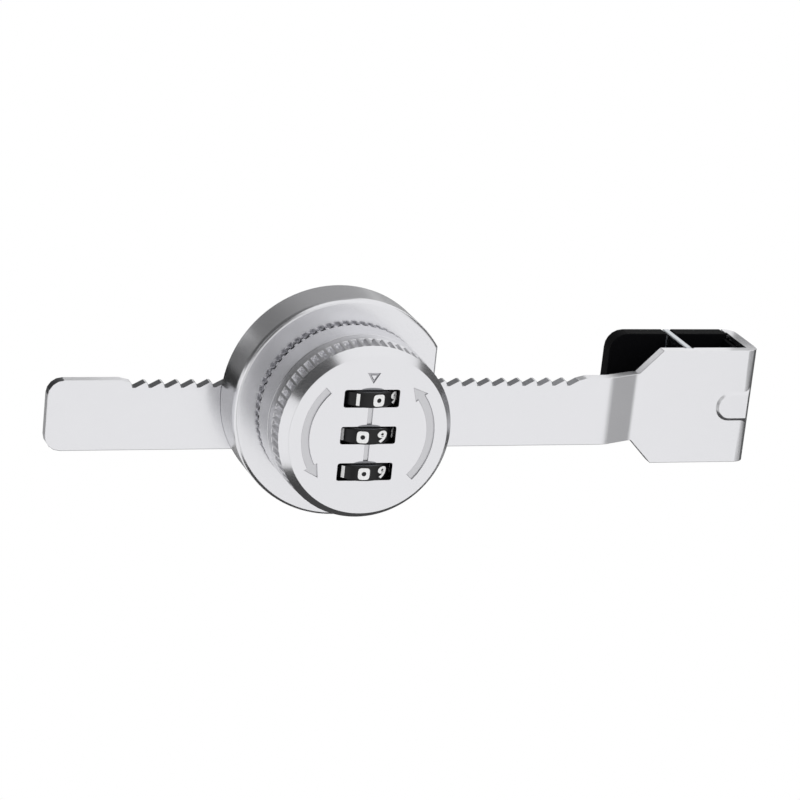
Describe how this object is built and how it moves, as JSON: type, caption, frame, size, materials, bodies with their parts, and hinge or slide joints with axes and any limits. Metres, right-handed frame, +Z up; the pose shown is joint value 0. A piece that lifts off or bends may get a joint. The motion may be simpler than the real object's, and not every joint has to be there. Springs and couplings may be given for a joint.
{
  "type": "sliding door combination lock",
  "caption": "Sliding door lock: a round body with a combination dial runs along a flat toothed bar that ends in a lined U-shaped hook for the edge of a door.",
  "frame": {"origin": "on the hook's inner face that bears on the door, level with the middle of the bar", "axes": "+X along the bar from its free end to the hook, +Y from the dial towards the door, +Z up"},
  "size_m": [0.1469, 0.0431, 0.0434],
  "materials": {
    "plated_steel": "satin nickel plate",
    "plated_zinc": "satin nickel plate on cast zinc",
    "black_rubber": "smooth, matte",
    "bright_steel": "zinc plated",
    "brass_part": "machined",
    "wheel_black": "black with white numbers"
  },
  "bodies": {
    "ratchet_bar": {"ratchet_bar": "plated_steel", "hook_liner": "black_rubber", "door_stop": "plated_steel"},
    "housing": {"housing": "plated_zinc", "rear_cover": "plated_zinc", "cover_screw_1": "bright_steel", "cover_screw_2": "bright_steel", "cover_screw_3": "bright_steel", "cover_screw_4": "bright_steel", "pawl_spring": "bright_steel"},
    "pawl": {"pawl": "bright_steel"},
    "dial": {"dial_shell": "plated_zinc", "dial_base": "plated_zinc", "dial_screw_1": "bright_steel", "dial_screw_2": "bright_steel", "dial_retainer": "bright_steel", "spindle_cam": "brass_part", "wheel_axle": "bright_steel", "detent_spring": "bright_steel"},
    "wheel_top": {"wheel_top": "wheel_black", "code_sleeve_top": "brass_part"},
    "wheel_middle": {"wheel_middle": "wheel_black", "code_sleeve_middle": "brass_part"},
    "wheel_bottom": {"wheel_bottom": "wheel_black", "code_sleeve_bottom": "brass_part"}
  },
  "joints": [
    {"name": "lock_slide", "type": "slide", "parent": "ratchet_bar", "child": "housing", "axis": [1, 0, 0], "range_m": [-0.01896, 0.03792]},
    {"name": "dial_turn", "type": "hinge", "parent": "housing", "child": "dial", "pos_m": [-0.07, 0, 0.0044], "axis": [0, -1, 0], "range_deg": [0, 90]},
    {"name": "pawl_lift", "type": "slide", "parent": "housing", "child": "pawl", "axis": [0, 0, 1], "range_m": [0, 0.0022], "deforming": ["pawl_spring"]},
    {"name": "wheel_top_spin", "type": "hinge", "parent": "dial", "child": "wheel_top", "pos_m": [-0.07, -0.02436, 0.0116], "axis": [0, 0, 1], "continuous": true},
    {"name": "wheel_middle_spin", "type": "hinge", "parent": "dial", "child": "wheel_middle", "pos_m": [-0.07, -0.02436, 0.0044], "axis": [0, 0, 1], "continuous": true},
    {"name": "wheel_bottom_spin", "type": "hinge", "parent": "dial", "child": "wheel_bottom", "pos_m": [-0.07, -0.02436, -0.0028], "axis": [0, 0, 1], "continuous": true}
  ],
  "couplings": [
    {"joint": "dial_turn", "follows": "pawl_lift", "rad_per_m": 713.99}
  ]
}
